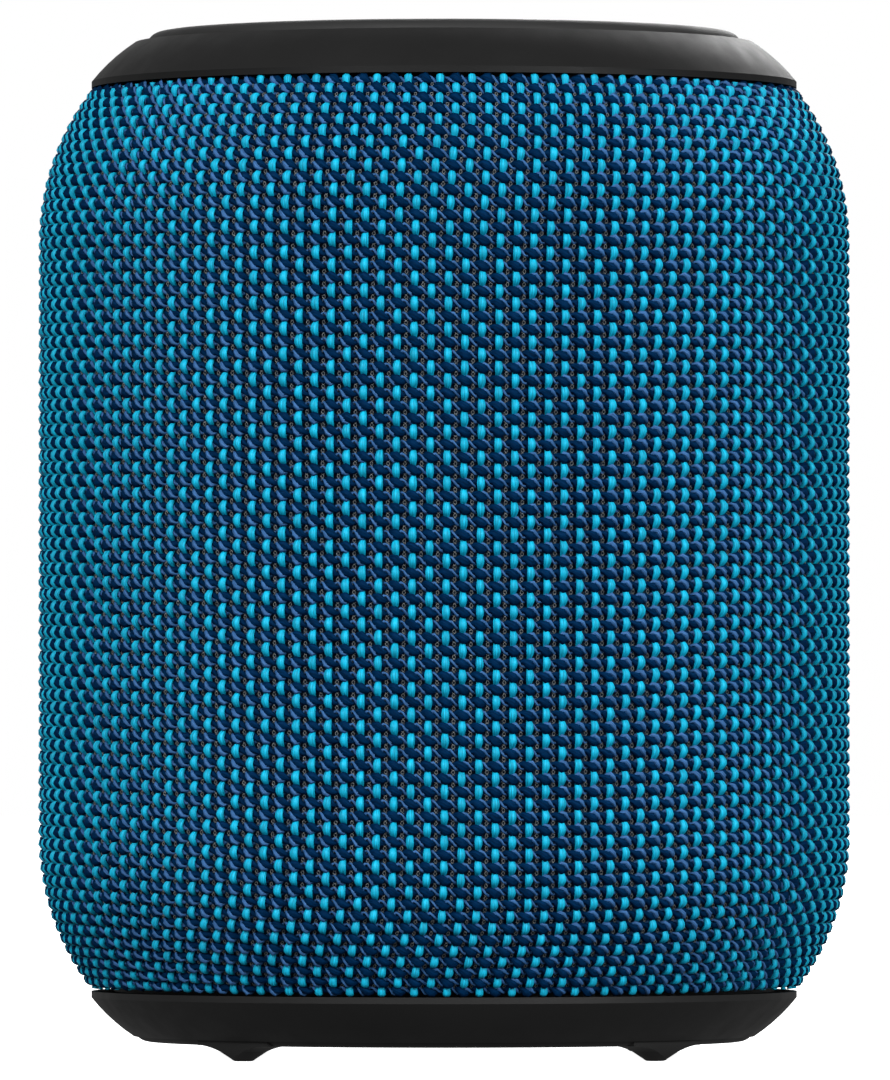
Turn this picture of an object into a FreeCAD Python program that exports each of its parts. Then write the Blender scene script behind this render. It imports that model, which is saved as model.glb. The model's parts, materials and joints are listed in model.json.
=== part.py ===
"""Portable speaker: an upright cylinder in a woven sleeve, between two black caps, on four small feet.

Writes one STEP per sub-part to parts/NODE.step, in millimetres. +Z is up, the front faces -Y and the sockets
are at the back, +Y. The origin is on the surface that the feet stand on, under the middle of the body.

From the top down: control panel with five keys, top shell, control board, chamber lid, sound chamber with
two drivers (front and rear) and two passive radiators (left and right), main board with the sockets, battery,
base shell and foot pad. The grille frame and the sleeve go round all of it.
"""
import FreeCAD, Part
import math
import os

# ---- Sleeve and caps: the outside shape ----
SLEEVE_RADIUS = 45.0
SLEEVE_BOTTOM = 7.25
SLEEVE_TOP = 107.25
SHOULDER_RADIUS = 27.4      # arc that turns the sleeve in towards each cap
SHOULDER_HEIGHT = 17.0
SLEEVE_THICKNESS = 1.5
FRAME_THICKNESS = 1.5
GAP = 0.1                   # between pieces that lie against each other
CAP_ARC = 20.0              # arc of each cap's side
TOP_LIP = 0.7               # upright edge of the top cap, next to the sleeve
TOP_RISE = 4.35             # height of the arc above that lip
BASE_LIP = 0.7              # the same edge on the base
CAP_ANGLE = math.asin(SHOULDER_HEIGHT / SHOULDER_RADIUS)
SHOULDER_CENTRE = SLEEVE_RADIUS - SHOULDER_RADIUS
FRAME_END = 2.75            # the frame stops this far short of each end of the sleeve
SLOT_ROWS = (49.25, 65.25, 81.25)       # heights of the middles of the frame's slots
SLOT_COLUMNS = 20
SLOT_WIDTH, SLOT_HALF = 4.0, 5.0        # SLOT_HALF is from a slot's middle to the centre of its rounded end
SLOT_REACH = 35.0                       # the slots are cut from this radius outwards

# ---- Heights, from the feet up ----
PAD_BOTTOM = 1.7
PAD_TOP = 3.35
BASE_EDGE = 2.25            # lower edge of the base's side, a little above the pad's
BASE_FLOOR_BOTTOM = 3.4
BASE_FLOOR_TOP = 5.4
BOARD_BOTTOM = 27.4
BOARD_TOP = 29.0
MAIN_BOARD_RADIUS = 35.0
BOARD_HOLE = 1.2            # screw holes in both circuit boards
SOCKET_Z = 32.0
CHAMBER_BOTTOM = 38.0
CHAMBER_TOP = 93.6
LID_BOTTOM = 94.0
LID_TOP = 96.5
CONTROL_BOARD_BOTTOM = 100.8
CONTROL_BOARD_TOP = 102.4
CONTROL_BOARD_RADIUS = 25.0
SWITCH_TOP = 106.2
DECK_BOTTOM = 107.4
DECK_TOP = 109.0
PANEL_UNDERSIDE = 110.85
PANEL_FACE = 112.6
PANEL_RIM = 113.4
DRIVER_Z = (CHAMBER_BOTTOM + LID_BOTTOM) / 2

# ---- Shells ----
SKIRT_OUTER = 36.6
SKIRT_INNER = 35.2
SKIRT_HEIGHT = 7.25         # past the end of the sleeve, inside the frame
PANEL_POCKET = 33.05
PANEL_RADIUS = 32.95
PANEL_WALL_INNER = 31.0
PAD_RADIUS = 34.0
PAD_EDGE_WIDTH, PAD_EDGE_HEIGHT = 1.5, 0.55     # rounding of the pad's lower edge

# ---- Keys ----
KEY_TRAVEL = 0.6
KEY_TOP = 113.2
KEY_RADIUS = 5.0
PLAY_RADIUS = 8.0
KEY_CIRCLE = 18.0
KEY_DISH = 0.16
FLANGE_TOP = 110.75
FLANGE_BOTTOM = 109.95
FLANGE_EXTRA = 1.0
STEM_RADIUS = 1.8
STEM_BOTTOM = SWITCH_TOP + KEY_TRAVEL + 0.05
KEY_CLEARANCE = 0.3
KEYS = {
    "play_button": (0.0, 0.0, PLAY_RADIUS),
    "power_button": (0.0, -KEY_CIRCLE, KEY_RADIUS),
    "pairing_button": (0.0, KEY_CIRCLE, KEY_RADIUS),
    "volume_up_button": (KEY_CIRCLE, 0.0, KEY_RADIUS),
    "volume_down_button": (-KEY_CIRCLE, 0.0, KEY_RADIUS),
}
LIGHT_RADIUS = 0.9
LIGHT_Y = -10.5             # between the play key and the power key

# ---- Sound chamber ----
CHAMBER_HALF = 31.0         # flat faces that carry the drivers and radiators
CHAMBER_CORNER = 38.8
CHAMBER_WALL = 2.5
LID_RADIUS = 39.5
DRIVER_HOLE = 22.35
RADIATOR_HOLE = 20.0
GASKET = 0.5

# ---- Fasteners ----
PILOT = 1.15                # bore that a screw cuts its thread in
CLEARANCE_BORE = 1.3        # bore that a screw passes through
SMALL_PILOT = 0.95
TOP_POST_CIRCLE = 28.0
LID_SCREW_CIRCLE = 33.2
BASE_POST_CIRCLE = 31.0
BASE_POST_RADIUS = 3.2
STANDOFF_CIRCLE = 22.0
STANDOFF_RADIUS = 2.2
DRIVER_SCREW_CIRCLE = 23.9
DRIVER_SCREW_ANGLES = (45, 135, 225, 315)
DRIVER_FLANGE = 25.6
TOP_POST_ANGLES = (0, 90, 180, 270)
LID_SCREW_ANGLES = (45, 135, 225, 315)
BASE_POST_ANGLES = (60, 120, 240, 300)
STANDOFF_ANGLES = (20, 160, 200, 340)
BOARD_POSTS = ((0.0, -24.0), (-26.0, 11.0), (26.0, 11.0))

# ---- Sockets and their cover ----
BEZEL_WIDTH, BEZEL_HEIGHT, BEZEL_CORNER = 34.0, 15.0, 5.0
POCKET_WIDTH, POCKET_HEIGHT, POCKET_CORNER = 30.6, 11.6, 3.4
COVER_WIDTH, COVER_HEIGHT, COVER_CORNER = 30.0, 11.0, 3.1
BEZEL_BACK = 35.0
POCKET_FLOOR = 36.5
COVER_OUTER = SLEEVE_RADIUS - 0.1
COVER_INNER = COVER_OUTER - 2.0
HINGE_X = -15.15
HINGE_Y = math.sqrt(COVER_OUTER ** 2 - HINGE_X ** 2)
BEAD_RADIUS = 0.6
BEAD_LENGTH = 9.0
USB_X = 6.5
AUX_X = -6.5
AUX_BORE = 1.8
AUX_BORE_LENGTH = 14.45
SOCKET_FACE = POCKET_FLOOR - 0.05

# ---- Battery ----
CELL_RADIUS = 9.1
CELL_LENGTH = 65.0
CELL_Y = -3.0
CELL_Z = 16.6
SADDLE_X, SADDLE_TOP = 22.0, 11.5       # ribs of the base that the cell lies on

# ---- Ribbon cable, in the corner between the chamber and the frame ----
RIBBON_ANGLE = 135
RIBBON_RADIUS = 39.9
RIBBON_WIDTH = 6.0
RIBBON_HALF = 0.3

# ---- Feet ----
FOOT_CIRCLE = 31.8
FOOT_FLAT = 0.75            # radius of the flat that each foot stands on
FOOT_SPREAD = 5.6
FOOT_ANGLES = (45, 135, 225, 315)

ORIGIN = FreeCAD.Vector(0, 0, 0)
X = FreeCAD.Vector(1, 0, 0)
Y = FreeCAD.Vector(0, 1, 0)
Z = FreeCAD.Vector(0, 0, 1)


# ---- Helpers ----
def save(name, shape):
    """Writes one sub-part, after checking that it is sound."""
    if not shape.isValid() or shape.Volume <= 0:
        raise ValueError(name + " is not a sound solid")
    shape.exportStep("parts/" + name + ".step")


def fuse(*shapes):
    whole = shapes[0].multiFuse(list(shapes[1:])) if len(shapes) > 1 else shapes[0]
    return whole.removeSplitter()


def disc(radius, bottom, top, x=0.0, y=0.0):
    return Part.makeCylinder(radius, top - bottom, FreeCAD.Vector(x, y, bottom), Z)


def ring(outer, inner, bottom, top, x=0.0, y=0.0):
    return disc(outer, bottom, top, x, y).cut(disc(inner, bottom, top, x, y))


def block(x0, x1, y0, y1, z0, z1):
    return Part.makeBox(x1 - x0, y1 - y0, z1 - z0, FreeCAD.Vector(x0, y0, z0))


def on_circle(radius, degrees):
    angle = math.radians(degrees)
    return radius * math.cos(angle), radius * math.sin(angle)


def turned(*steps):
    """Solid of revolution about Z. A step is a point (radius, z), or (through, end) for an arc."""
    edges = []
    here = steps[0]
    for step in steps[1:] + (steps[0],):
        if isinstance(step[0], tuple):
            through, end = step
            points = [FreeCAD.Vector(r, 0, z) for r, z in (here, through, end)]
            edges.append(Part.Arc(*points).toShape())
        else:
            end = step
            start_point = FreeCAD.Vector(here[0], 0, here[1])
            edges.append(Part.makeLine(start_point, FreeCAD.Vector(end[0], 0, end[1])))
        here = end
    return Part.Face(Part.Wire(edges)).revolve(ORIGIN, Z, 360)


def rounded_box(width, height, corner, y0, y1, x=0.0, z=SOCKET_Z):
    """Rounded rectangle in X and Z, from y0 to y1."""
    half_w, half_h = width / 2, height / 2
    body = fuse(
        block(x - half_w + corner, x + half_w - corner, y0, y1, z - half_h, z + half_h),
        block(x - half_w, x + half_w, y0, y1, z - half_h + corner, z + half_h - corner),
        *[
            Part.makeCylinder(
                corner, y1 - y0, FreeCAD.Vector(x + sx * (half_w - corner), y0, z + sz * (half_h - corner)), Y
            )
            for sx in (-1, 1)
            for sz in (-1, 1)
        ],
    )
    return body


def rounded_square(half, corner, bottom, top):
    """Square prism whose corners follow a circle of radius corner."""
    return block(-half, half, -half, half, bottom, top).common(disc(corner, bottom, top))


def barrel_radius(z, inset):
    """Radius at height z of the sleeve's outer surface, moved in by inset."""
    past = max(z - (SLEEVE_TOP - SHOULDER_HEIGHT), (SLEEVE_BOTTOM + SHOULDER_HEIGHT) - z, 0.0)
    return SHOULDER_CENTRE + math.sqrt((SHOULDER_RADIUS - inset) ** 2 - past ** 2)


def barrel(inset, bottom, top):
    """Solid inside the sleeve's outer surface, moved in by inset."""
    low = SLEEVE_BOTTOM + SHOULDER_HEIGHT
    high = SLEEVE_TOP - SHOULDER_HEIGHT
    low_mid, high_mid = (bottom + low) / 2, (top + high) / 2
    return turned(
        (0.0, bottom),
        (barrel_radius(bottom, inset), bottom),
        ((barrel_radius(low_mid, inset), low_mid), (SLEEVE_RADIUS - inset, low)),
        (SLEEVE_RADIUS - inset, high),
        ((barrel_radius(high_mid, inset), high_mid), (barrel_radius(top, inset), top)),
        (0.0, top),
    )


def dome_to_axis(edge_radius, edge_z, rise):
    """Arc step from an edge point to the axis, rise higher, centred on the axis. A dish has rise < 0."""
    radius = (edge_radius ** 2 + rise ** 2) / (2 * rise)
    centre_z = edge_z + rise - radius
    half = math.asin(edge_radius / radius) / 2
    return (radius * math.sin(half), centre_z + radius * math.cos(half)), (0.0, edge_z + rise)


def cap_radius(rise):
    """Radius of a cap's rounded side, rise away from its lip."""
    angle = math.asin(math.sin(CAP_ANGLE) + rise / CAP_ARC)
    return barrel_radius(SLEEVE_TOP, 0) - CAP_ARC * (math.cos(CAP_ANGLE) - math.cos(angle))


def screw(x, y, head_z, length, up=True, head=2.0, shank=1.1):
    """Pan-head screw along Z. head_z is under the head; up means that the head is on top."""
    way = 1 if up else -1
    thread = Part.makeCylinder(shank, length, FreeCAD.Vector(x, y, head_z), Z * -way)
    cap = Part.makeCylinder(head, 1.4, FreeCAD.Vector(x, y, head_z), Z * way)
    recess = Part.makeCylinder(head * 0.45, 0.8, FreeCAD.Vector(x, y, head_z + way * 0.7), Z * way)
    return fuse(thread, cap).cut(recess)


def group(shapes):
    return Part.makeCompound(list(shapes))


# ---- Outside ----
def fabric_sleeve():
    bottom, top = SLEEVE_BOTTOM + 0.05, SLEEVE_TOP - 0.05
    tube = barrel(0, bottom, top).cut(barrel(SLEEVE_THICKNESS, bottom, top))
    return tube.cut(bezel_window())


def bezel_window():
    return rounded_box(BEZEL_WIDTH + 0.2, BEZEL_HEIGHT + 0.2, BEZEL_CORNER + 0.1, 30, 50)


def grille_frame():
    """Moulded cage under the sleeve, with rows of upright slots that let the sound out."""
    outer = SLEEVE_THICKNESS + GAP
    bottom, top = SLEEVE_BOTTOM + FRAME_END, SLEEVE_TOP - FRAME_END
    cage = barrel(outer, bottom, top).cut(barrel(outer + FRAME_THICKNESS, bottom, top))
    slots = []
    for z in SLOT_ROWS:
        upright = block(SLOT_REACH, 50, -SLOT_WIDTH / 2, SLOT_WIDTH / 2, z - SLOT_HALF, z + SLOT_HALF)
        ends = []
        for end_z in (z - SLOT_HALF, z + SLOT_HALF):
            start = FreeCAD.Vector(SLOT_REACH, 0, end_z)
            ends.append(Part.makeCylinder(SLOT_WIDTH / 2, 50 - SLOT_REACH, start, X))
        slot = fuse(upright, *ends)
        for i in range(SLOT_COLUMNS):
            slots.append(slot.rotated(ORIGIN, Z, (i + 0.5) * 360 / SLOT_COLUMNS))
    return cage.cut(slots).cut(bezel_window())


def top_shell():
    lip = SLEEVE_TOP + TOP_LIP
    end = lip + TOP_RISE
    shell = turned(
        (0.0, DECK_BOTTOM),
        (SKIRT_INNER, DECK_BOTTOM),
        (SKIRT_INNER, SLEEVE_TOP - SKIRT_HEIGHT),
        (SKIRT_OUTER, SLEEVE_TOP - SKIRT_HEIGHT),
        (SKIRT_OUTER, SLEEVE_TOP),
        (cap_radius(0), SLEEVE_TOP),
        (cap_radius(0), lip),
        ((cap_radius(TOP_RISE / 2), lip + TOP_RISE / 2), (cap_radius(TOP_RISE), end)),
        (PANEL_POCKET, end),
        (PANEL_POCKET, DECK_TOP),
        (0.0, DECK_TOP),
    )
    holes = [disc(STEM_RADIUS + 0.5, DECK_BOTTOM - 1, DECK_TOP + 1, x, y) for x, y, _ in KEYS.values()]
    holes.append(disc(LIGHT_RADIUS + 0.1, DECK_BOTTOM - 1, DECK_TOP + 1, 0, LIGHT_Y))
    for angle in TOP_POST_ANGLES:
        holes.append(disc(CLEARANCE_BORE, DECK_BOTTOM - 1, DECK_TOP + 1, *on_circle(TOP_POST_CIRCLE, angle)))
    ribbon_way = block(30, 40, -5, 5, SLEEVE_TOP - SKIRT_HEIGHT - 1, SLEEVE_TOP - SKIRT_HEIGHT + 1.6)
    holes.append(ribbon_way.rotated(ORIGIN, Z, RIBBON_ANGLE))
    return shell.cut(holes)


def control_panel():
    """Dished soft-touch plate with a rounded rim. The keys stand in its holes."""
    plate = turned(
        (0.0, PANEL_UNDERSIDE),
        (PANEL_WALL_INNER, PANEL_UNDERSIDE),
        (PANEL_WALL_INNER, DECK_TOP + 0.05),
        (PANEL_RADIUS, DECK_TOP + 0.05),
        (PANEL_RADIUS, PANEL_RIM - 1.3),
        ((PANEL_RADIUS - 0.45, PANEL_RIM - 0.4), (PANEL_RADIUS - 1.7, PANEL_RIM)),
        (PANEL_RADIUS - 2.4, PANEL_RIM),
        ((PANEL_RADIUS - 3.6, PANEL_RIM - 0.5), (PANEL_RADIUS - 4.6, PANEL_FACE)),
        (0.0, PANEL_FACE),
    )
    low, high = PANEL_UNDERSIDE - 1, PANEL_RIM + 1
    holes = [disc(r + KEY_CLEARANCE, low, high, x, y) for x, y, r in KEYS.values()]
    holes.append(disc(LIGHT_RADIUS + 0.05, low, high, 0, LIGHT_Y))
    return plate.cut(holes)


def key(x, y, radius):
    """Round key with a dished top, a flange that keeps it in the panel and a stem that meets its switch."""
    shape = turned(
        (0.0, STEM_BOTTOM),
        (STEM_RADIUS, STEM_BOTTOM),
        (STEM_RADIUS, FLANGE_BOTTOM),
        (radius + FLANGE_EXTRA, FLANGE_BOTTOM),
        (radius + FLANGE_EXTRA, FLANGE_TOP),
        (radius, FLANGE_TOP),
        (radius, KEY_TOP - 0.5),
        ((radius - 0.15, KEY_TOP - 0.15), (radius - 0.5, KEY_TOP)),
        dome_to_axis(radius - 0.5, KEY_TOP, -KEY_DISH),
    )
    return shape.translated(FreeCAD.Vector(x, y, 0))


def status_light():
    return turned(
        (0.0, CONTROL_BOARD_TOP + 0.8),
        (LIGHT_RADIUS, CONTROL_BOARD_TOP + 0.8),
        (LIGHT_RADIUS, PANEL_FACE),
        dome_to_axis(LIGHT_RADIUS, PANEL_FACE, 0.18),
    ).translated(FreeCAD.Vector(0, LIGHT_Y, 0))


def foot():
    """Flared bump that grows out of the pad and ends in a small flat."""
    return turned(
        (0.0, 0.0),
        (FOOT_FLAT, 0.0),
        ((FOOT_FLAT + 0.3, 0.05), (FOOT_FLAT + 0.55, 0.22)),
        (FOOT_FLAT + 1.85, 1.08),
        ((FOOT_FLAT + 2.95, 1.48), (FOOT_SPREAD, PAD_BOTTOM)),
        (FOOT_SPREAD, PAD_BOTTOM + 0.6),
        (0.0, PAD_BOTTOM + 0.6),
    )


def foot_pad():
    """Soft disc under the base, with its four feet in one moulding."""
    pad = turned(
        (0.0, PAD_BOTTOM),
        (PAD_RADIUS - PAD_EDGE_WIDTH, PAD_BOTTOM),
        (
            (PAD_RADIUS - PAD_EDGE_WIDTH / 3, PAD_BOTTOM + PAD_EDGE_HEIGHT / 3.5),
            (PAD_RADIUS, PAD_BOTTOM + PAD_EDGE_HEIGHT),
        ),
        (PAD_RADIUS, PAD_TOP),
        (0.0, PAD_TOP),
    )
    reach = turned(
        (0.0, 0.0),
        (PAD_RADIUS - 0.9, 0.0),
        ((PAD_RADIUS - 0.25, PAD_BOTTOM - 0.7), (PAD_RADIUS, PAD_BOTTOM + PAD_EDGE_HEIGHT)),
        (0.0, PAD_BOTTOM + PAD_EDGE_HEIGHT),
    )
    feet = []
    for angle in FOOT_ANGLES:
        x, y = on_circle(FOOT_CIRCLE, angle)
        feet.append(foot().translated(FreeCAD.Vector(x, y, 0)).common(reach))
    return fuse(pad, *feet)


def base_shell():
    lip = SLEEVE_BOTTOM - BASE_LIP
    rise = lip - BASE_EDGE
    shell = turned(
        (0.0, BASE_FLOOR_BOTTOM),
        (PAD_RADIUS + GAP, BASE_FLOOR_BOTTOM),
        (PAD_RADIUS + GAP, lip - rise),
        (cap_radius(rise), lip - rise),
        ((cap_radius(rise / 2), lip - rise / 2), (cap_radius(0), lip)),
        (cap_radius(0), SLEEVE_BOTTOM),
        (SKIRT_OUTER, SLEEVE_BOTTOM),
        (SKIRT_OUTER, SLEEVE_BOTTOM + SKIRT_HEIGHT),
        (SKIRT_INNER, SLEEVE_BOTTOM + SKIRT_HEIGHT),
        (SKIRT_INNER, BASE_FLOOR_TOP),
        (0.0, BASE_FLOOR_TOP),
    )
    posts, bores = [], []
    for angle in BASE_POST_ANGLES:
        x, y = on_circle(BASE_POST_CIRCLE, angle)
        posts.append(disc(BASE_POST_RADIUS, BASE_FLOOR_TOP - 1, CHAMBER_BOTTOM - 0.05, x, y))
        bores.append(disc(2.3, 0, CHAMBER_BOTTOM - 6, x, y))
        bores.append(disc(1.4, 0, CHAMBER_BOTTOM + 1, x, y))
    for x, y in BOARD_POSTS:
        posts.append(disc(STANDOFF_RADIUS, BASE_FLOOR_TOP - 1, BOARD_BOTTOM - 0.05, x, y))
        bores.append(disc(SMALL_PILOT, BOARD_BOTTOM - 7, BOARD_BOTTOM + 1, x, y))
    saddle_hollow = Part.makeCylinder(CELL_RADIUS + GAP, 80, FreeCAD.Vector(-40, CELL_Y, CELL_Z), X)
    for x in (-SADDLE_X, SADDLE_X):
        saddle = block(x - 1.5, x + 1.5, CELL_Y - 9, CELL_Y + 9, BASE_FLOOR_TOP - 1, SADDLE_TOP)
        posts.append(saddle.cut(saddle_hollow))
    return fuse(shell, *posts).cut(bores)


# ---- Top ----
def control_board():
    board = disc(CONTROL_BOARD_RADIUS, CONTROL_BOARD_BOTTOM, CONTROL_BOARD_TOP)
    low, high = CONTROL_BOARD_BOTTOM - 1, CONTROL_BOARD_TOP + 1
    holes = [disc(BOARD_HOLE, low, high, *on_circle(STANDOFF_CIRCLE, a)) for a in STANDOFF_ANGLES]
    return board.cut(holes)


def tact_switches():
    """One switch under each key, and the lamp under the status light."""
    switches = []
    for x, y, _ in KEYS.values():
        body = block(x - 3, x + 3, y - 3, y + 3, CONTROL_BOARD_TOP, SWITCH_TOP - 0.3)
        switches.append(fuse(body, disc(1.7, SWITCH_TOP - 0.4, SWITCH_TOP, x, y)))
    lamp = block(-0.8, 0.8, LIGHT_Y - 0.5, LIGHT_Y + 0.5, CONTROL_BOARD_TOP, CONTROL_BOARD_TOP + 0.7)
    return group(switches + [lamp])


def board_screws():
    """The screws that hold the control board and the main board."""
    spots = [(*on_circle(STANDOFF_CIRCLE, a), CONTROL_BOARD_TOP, 5.2) for a in STANDOFF_ANGLES]
    spots += [(x, y, BOARD_TOP, 6.0) for x, y in BOARD_POSTS]
    return group(screw(*spot, head=1.9, shank=0.9) for spot in spots)


def top_screws():
    return group(screw(*on_circle(TOP_POST_CIRCLE, a), DECK_TOP, 8.0) for a in TOP_POST_ANGLES)


def seal_rings():
    """Square-section rings that close the gap between each skirt and the frame."""
    top = SLEEVE_TOP - FRAME_END - 0.1
    bottom = SLEEVE_BOTTOM + FRAME_END + 0.1
    return group(
        [
            ring(SKIRT_OUTER + 0.55, SKIRT_OUTER + 0.02, top - 1.5, top),
            ring(SKIRT_OUTER + 0.55, SKIRT_OUTER + 0.02, bottom, bottom + 1.5),
        ]
    )


# ---- Sound chamber ----
def chamber_bosses(bottom, top, radius=4.0):
    return [disc(radius, bottom, top, *on_circle(LID_SCREW_CIRCLE, a)) for a in LID_SCREW_ANGLES]


def radial_hole(radius, angle):
    """Hole through one wall of the chamber; angle 0 is the +X wall."""
    return Part.makeCylinder(radius, 8, FreeCAD.Vector(26, 0, DRIVER_Z), X).rotated(ORIGIN, Z, angle)


def chamber_body():
    inner_half, inner_corner = CHAMBER_HALF - CHAMBER_WALL, CHAMBER_CORNER - CHAMBER_WALL
    floor_top = CHAMBER_BOTTOM + CHAMBER_WALL
    box = rounded_square(CHAMBER_HALF, CHAMBER_CORNER, CHAMBER_BOTTOM, CHAMBER_TOP)
    box = box.cut(rounded_square(inner_half, inner_corner, floor_top, CHAMBER_TOP + 1))
    bosses = chamber_bosses(CHAMBER_TOP - 13, CHAMBER_TOP)
    inside = rounded_square(inner_half + 1, inner_corner + 1, CHAMBER_BOTTOM + 1, CHAMBER_TOP)
    floor_bosses, tools = [], []
    for angle in BASE_POST_ANGLES:
        x, y = on_circle(BASE_POST_CIRCLE, angle)
        floor_bosses.append(disc(3.0, floor_top - 1, floor_top + 4.5, x, y).common(inside))
        tools.append(disc(CLEARANCE_BORE, CHAMBER_BOTTOM - 1, floor_top + 3.5, x, y))
    body = fuse(box, *[b.common(inside) for b in bosses], *floor_bosses)
    for angle in LID_SCREW_ANGLES:
        tools.append(disc(PILOT, CHAMBER_TOP - 9, CHAMBER_TOP + 1, *on_circle(LID_SCREW_CIRCLE, angle)))
    tools += [radial_hole(DRIVER_HOLE, a) for a in (90, 270)]
    tools += [radial_hole(RADIATOR_HOLE, a) for a in (0, 180)]
    for a in (90, 270):
        for b in DRIVER_SCREW_ANGLES:
            y, z = on_circle(DRIVER_SCREW_CIRCLE, b)
            pilot = Part.makeCylinder(1.0, 8, FreeCAD.Vector(26, y, DRIVER_Z + z), X)
            tools.append(pilot.rotated(ORIGIN, Z, a))
    return body.cut(tools)


def chamber_gasket():
    low, high = CHAMBER_TOP + 0.02, LID_BOTTOM - 0.02
    seal = rounded_square(CHAMBER_HALF, CHAMBER_CORNER, low, high)
    tools = [rounded_square(CHAMBER_HALF - CHAMBER_WALL, CHAMBER_CORNER - CHAMBER_WALL, low - 1, high + 1)]
    for angle in LID_SCREW_ANGLES:
        tools.append(disc(CLEARANCE_BORE, low - 1, high + 1, *on_circle(LID_SCREW_CIRCLE, angle)))
    return seal.cut(tools)


def chamber_lid():
    """Round lid of the chamber. Its posts carry the control board and the top shell."""
    half, corner = CHAMBER_HALF - CHAMBER_WALL, CHAMBER_CORNER - CHAMBER_WALL
    spigot = rounded_square(half - 0.2, corner - 0.2, LID_BOTTOM - 2, LID_BOTTOM)
    hollow = rounded_square(half - 2, corner - 2, LID_BOTTOM - 3, LID_BOTTOM)
    spigot = spigot.cut([hollow] + chamber_bosses(LID_BOTTOM - 3, LID_BOTTOM, 4.3))
    posts, holes = [], []
    for angle in TOP_POST_ANGLES:
        x, y = on_circle(TOP_POST_CIRCLE, angle)
        posts.append(disc(2.8, LID_TOP - 1, DECK_BOTTOM - 0.05, x, y))
        holes.append(disc(PILOT, LID_TOP - 1, DECK_BOTTOM + 1, x, y))
    for angle in STANDOFF_ANGLES:
        x, y = on_circle(STANDOFF_CIRCLE, angle)
        posts.append(disc(STANDOFF_RADIUS, LID_TOP - 1, CONTROL_BOARD_BOTTOM - 0.05, x, y))
        holes.append(disc(SMALL_PILOT, LID_TOP - 0.5, CONTROL_BOARD_BOTTOM, x, y))
    for angle in LID_SCREW_ANGLES:
        holes.append(disc(CLEARANCE_BORE, LID_BOTTOM - 4, LID_TOP + 1, *on_circle(LID_SCREW_CIRCLE, angle)))
    lid = fuse(disc(LID_RADIUS, LID_BOTTOM, LID_TOP), spigot, *posts)
    return lid.cut(holes)


def chamber_lid_screws():
    return group(screw(*on_circle(LID_SCREW_CIRCLE, a), LID_TOP, 10.0, head=1.9) for a in LID_SCREW_ANGLES)


# ---- Drivers and radiators, drawn about Z with the mounting face at z = 0 and the front upwards ----
def facing(shape, angle):
    """Moves a driver or radiator part to its wall of the chamber; angle 0 is the +X wall."""
    placed = shape.rotated(ORIGIN, Y, 90).translated(FreeCAD.Vector(CHAMBER_HALF, 0, DRIVER_Z))
    return placed.rotated(ORIGIN, Z, angle)


def driver_frame():
    """Pressed basket with a flange and four windows."""
    seat = GASKET
    basket = turned(
        (DRIVER_FLANGE, seat),
        (22.3, seat),
        (22.3, -1.5),
        (15.0, -12.0),
        (15.0, -12.8),
        (8.2, -12.8),
        (8.2, -12.0),
        (14.0, -12.0),
        (21.4, -1.2),
        (21.4, seat + 1.2),
        (DRIVER_FLANGE, seat + 1.2),
    )
    window = block(10, 30, -6, 6, -10.5, -3.0)
    tools = [window.rotated(ORIGIN, Z, a) for a in (0, 90, 180, 270)]
    tools += [disc(1.2, -1, 3, *on_circle(DRIVER_SCREW_CIRCLE, a)) for a in DRIVER_SCREW_ANGLES]
    return basket.cut(tools)


def driver_surround(inner, outer, lip_inner, lip_outer, low, high, roll):
    """Half-roll edge, 0.3 mm thick, with an inner lip at height low and an outer lip at height high."""
    t = 0.3
    middle = (inner + outer) / 2
    crown = max(low, high) + roll
    return turned(
        (lip_inner, low),
        (inner + t, low),
        ((middle, crown - t), (outer - t, high)),
        (lip_outer, high),
        (lip_outer, high + t),
        (outer, high + t),
        ((middle, crown), (inner, low + t)),
        (lip_inner, low + t),
    )


def driver_parts():
    """Every piece of one driver, by its short name."""
    seat = GASKET
    cone_slope = 7.0 / 10.85
    parts = {
        "frame": driver_frame(),
        "top_plate": ring(13.5, 8.2, -14.8, -12.85),
        "magnet": ring(14.5, 10.0, -19.8, -14.85),
        "yoke": fuse(disc(13.5, -22.0, -19.85), disc(7.0, -20.5, -12.9)),
        "voice_coil": fuse(ring(7.5, 7.3, -17.5, -6.3), ring(7.9, 7.5, -16.5, -11.5)),
        "cone": turned((7.52, -7.25), (18.4, -7.25 + cone_slope * 10.88), (18.4, 0.17), (7.52, -6.85)),
        "dust_cap": turned((8.7, -6.05), dome_to_axis(8.7, -6.05, 2.4), (0.0, -6.05)).cut(
            turned((8.35, -6.1), dome_to_axis(8.35, -6.1, 2.15), (0.0, -6.1))
        ),
        "spider": turned(
            (7.55, -8.6),
            (7.55, -9.0),
            ((10.0, -9.4), (12.0, -9.0)),
            ((14.0, -8.6), (15.9, -9.0)),
            (15.9, -8.6),
            ((14.0, -8.2), (12.0, -8.6)),
            ((10.0, -9.0), (7.9, -8.6)),
        ),
        "surround": driver_surround(18.6, 21.4, 17.4, 22.2, 0.2, seat + 1.22, 0.9),
    }
    return parts


def driver_gaskets():
    seal = ring(DRIVER_FLANGE, 22.4, 0.02, GASKET - 0.02)
    seal = seal.cut([disc(1.2, -1, 3, *on_circle(DRIVER_SCREW_CIRCLE, a)) for a in DRIVER_SCREW_ANGLES])
    return group([facing(seal, a) for a in (90, 270)])


def driver_screws():
    made = []
    for wall in (90, 270):
        for a in DRIVER_SCREW_ANGLES:
            one = screw(*on_circle(DRIVER_SCREW_CIRCLE, a), GASKET + 1.2, 5.5, head=1.6, shank=0.95)
            made.append(facing(one, wall))
    return group(made)


def radiator_parts():
    return {
        "frame": ring(24.5, 20.3, 0.02, 1.2),
        "surround": driver_surround(14.3, 20.0, 12.8, 22.0, 1.42, 1.22, 2.3),
        "plate": fuse(disc(13.8, 0.2, 1.4), disc(8.0, -2.5, 0.3)),
    }


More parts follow.
